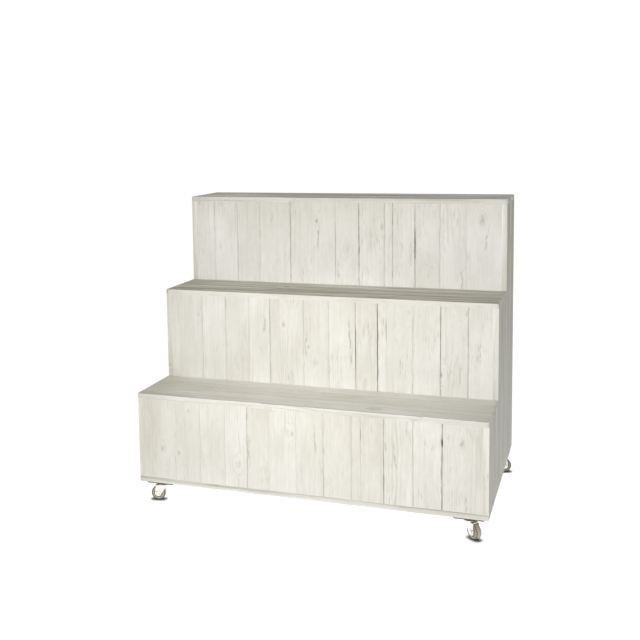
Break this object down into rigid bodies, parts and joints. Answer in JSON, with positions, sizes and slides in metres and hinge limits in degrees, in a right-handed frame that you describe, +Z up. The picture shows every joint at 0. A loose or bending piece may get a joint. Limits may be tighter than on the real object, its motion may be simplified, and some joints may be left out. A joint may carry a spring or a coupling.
{
  "type": "tiered display table",
  "caption": "Stepped timber display unit with three full-width treads over plank-clad risers, on swivel casters.",
  "frame": {"origin": "on the floor under the centre of the footprint", "axes": "+Z up; +X to the right of someone facing the steps, along the treads; +Y from the front towards the tall back"},
  "size_m": [1.2148, 0.76, 1.037],
  "materials": {
    "whitewashed_pine": "whitewashed, brushed back, matt",
    "bare_pine_battens": "planed, unfinished",
    "zinc_plated_steel": "bright zinc plate",
    "bearing_steel": "polished",
    "yellow_zinc_screws": "yellow zinc plate",
    "grey_wheel_core": "moulded, satin",
    "grey_rubber_tyre": "moulded, matt"
  },
  "bodies": {
    "carcass": {"back_bearer": "bare_pine_battens", "back_planks": "whitewashed_pine", "back_posts": "bare_pine_battens", "base_board": "whitewashed_pine", "bearing_balls": "bearing_steel", "caster_kingpins": "zinc_plated_steel", "caster_screws": "zinc_plated_steel", "frame_screws": "yellow_zinc_screws", "front_bearer": "bare_pine_battens", "front_left_plate": "zinc_plated_steel", "front_posts": "bare_pine_battens", "front_right_plate": "zinc_plated_steel", "left_side_planks": "whitewashed_pine", "lower_front_rail": "bare_pine_battens", "lower_riser_planks": "whitewashed_pine", "lower_tread_boards": "whitewashed_pine", "lower_tread_rails": "bare_pine_battens", "middle_foot_rail": "bare_pine_battens", "middle_front_rail": "bare_pine_battens", "middle_posts": "bare_pine_battens", "middle_riser_planks": "whitewashed_pine", "middle_tread_boards": "whitewashed_pine", "middle_tread_rails": "bare_pine_battens", "rear_left_plate": "zinc_plated_steel", "rear_right_plate": "zinc_plated_steel", "right_side_planks": "whitewashed_pine", "upper_back_rail": "bare_pine_battens", "upper_foot_rail": "bare_pine_battens", "upper_front_rail": "bare_pine_battens", "upper_posts": "bare_pine_battens", "upper_riser_planks": "whitewashed_pine", "upper_tread_boards": "whitewashed_pine", "upper_tread_rails": "bare_pine_battens"},
    "front_left_swivel": {"front_left_fork": "zinc_plated_steel", "front_left_axle_sleeve": "zinc_plated_steel", "front_left_axle_bolt": "zinc_plated_steel", "front_left_axle_nut": "zinc_plated_steel"},
    "front_left_wheel": {"front_left_wheel_core": "grey_wheel_core", "front_left_tyre": "grey_rubber_tyre"},
    "front_right_swivel": {"front_right_fork": "zinc_plated_steel", "front_right_axle_sleeve": "zinc_plated_steel", "front_right_axle_bolt": "zinc_plated_steel", "front_right_axle_nut": "zinc_plated_steel"},
    "front_right_wheel": {"front_right_wheel_core": "grey_wheel_core", "front_right_tyre": "grey_rubber_tyre"},
    "rear_left_swivel": {"rear_left_fork": "zinc_plated_steel", "rear_left_axle_sleeve": "zinc_plated_steel", "rear_left_axle_bolt": "zinc_plated_steel", "rear_left_axle_nut": "zinc_plated_steel"},
    "rear_left_wheel": {"rear_left_wheel_core": "grey_wheel_core", "rear_left_tyre": "grey_rubber_tyre"},
    "rear_right_swivel": {"rear_right_fork": "zinc_plated_steel", "rear_right_axle_sleeve": "zinc_plated_steel", "rear_right_axle_bolt": "zinc_plated_steel", "rear_right_axle_nut": "zinc_plated_steel"},
    "rear_right_wheel": {"rear_right_wheel_core": "grey_wheel_core", "rear_right_tyre": "grey_rubber_tyre"}
  },
  "joints": [
    {"name": "front_left_swivel", "type": "hinge", "parent": "carcass", "child": "front_left_swivel", "pos_m": [-0.526, -0.343, 0.058], "axis": [0, 0, 1], "continuous": true},
    {"name": "front_left_roll", "type": "hinge", "parent": "front_left_swivel", "child": "front_left_wheel", "pos_m": [-0.5457, -0.34647, 0.025], "axis": [0.1736, -0.9848, 0], "continuous": true},
    {"name": "front_right_swivel", "type": "hinge", "parent": "carcass", "child": "front_right_swivel", "pos_m": [0.538, -0.343, 0.058], "axis": [0, 0, 1], "continuous": true},
    {"name": "front_right_roll", "type": "hinge", "parent": "front_right_swivel", "child": "front_right_wheel", "pos_m": [0.55286, -0.35638, 0.025], "axis": [0.6691, 0.7431, 0], "continuous": true},
    {"name": "rear_left_swivel", "type": "hinge", "parent": "carcass", "child": "rear_left_swivel", "pos_m": [-0.563, 0.275, 0.058], "axis": [0, 0, 1], "continuous": true},
    {"name": "rear_left_roll", "type": "hinge", "parent": "rear_left_swivel", "child": "rear_left_wheel", "pos_m": [-0.58179, 0.28184, 0.025], "axis": [-0.342, -0.9397, 0], "continuous": true},
    {"name": "rear_right_swivel", "type": "hinge", "parent": "carcass", "child": "rear_right_swivel", "pos_m": [0.563, 0.275, 0.058], "axis": [0, 0, 1], "continuous": true},
    {"name": "rear_right_roll", "type": "hinge", "parent": "rear_right_swivel", "child": "rear_right_wheel", "pos_m": [0.58179, 0.28184, 0.025], "axis": [-0.342, 0.9397, 0], "continuous": true}
  ]
}
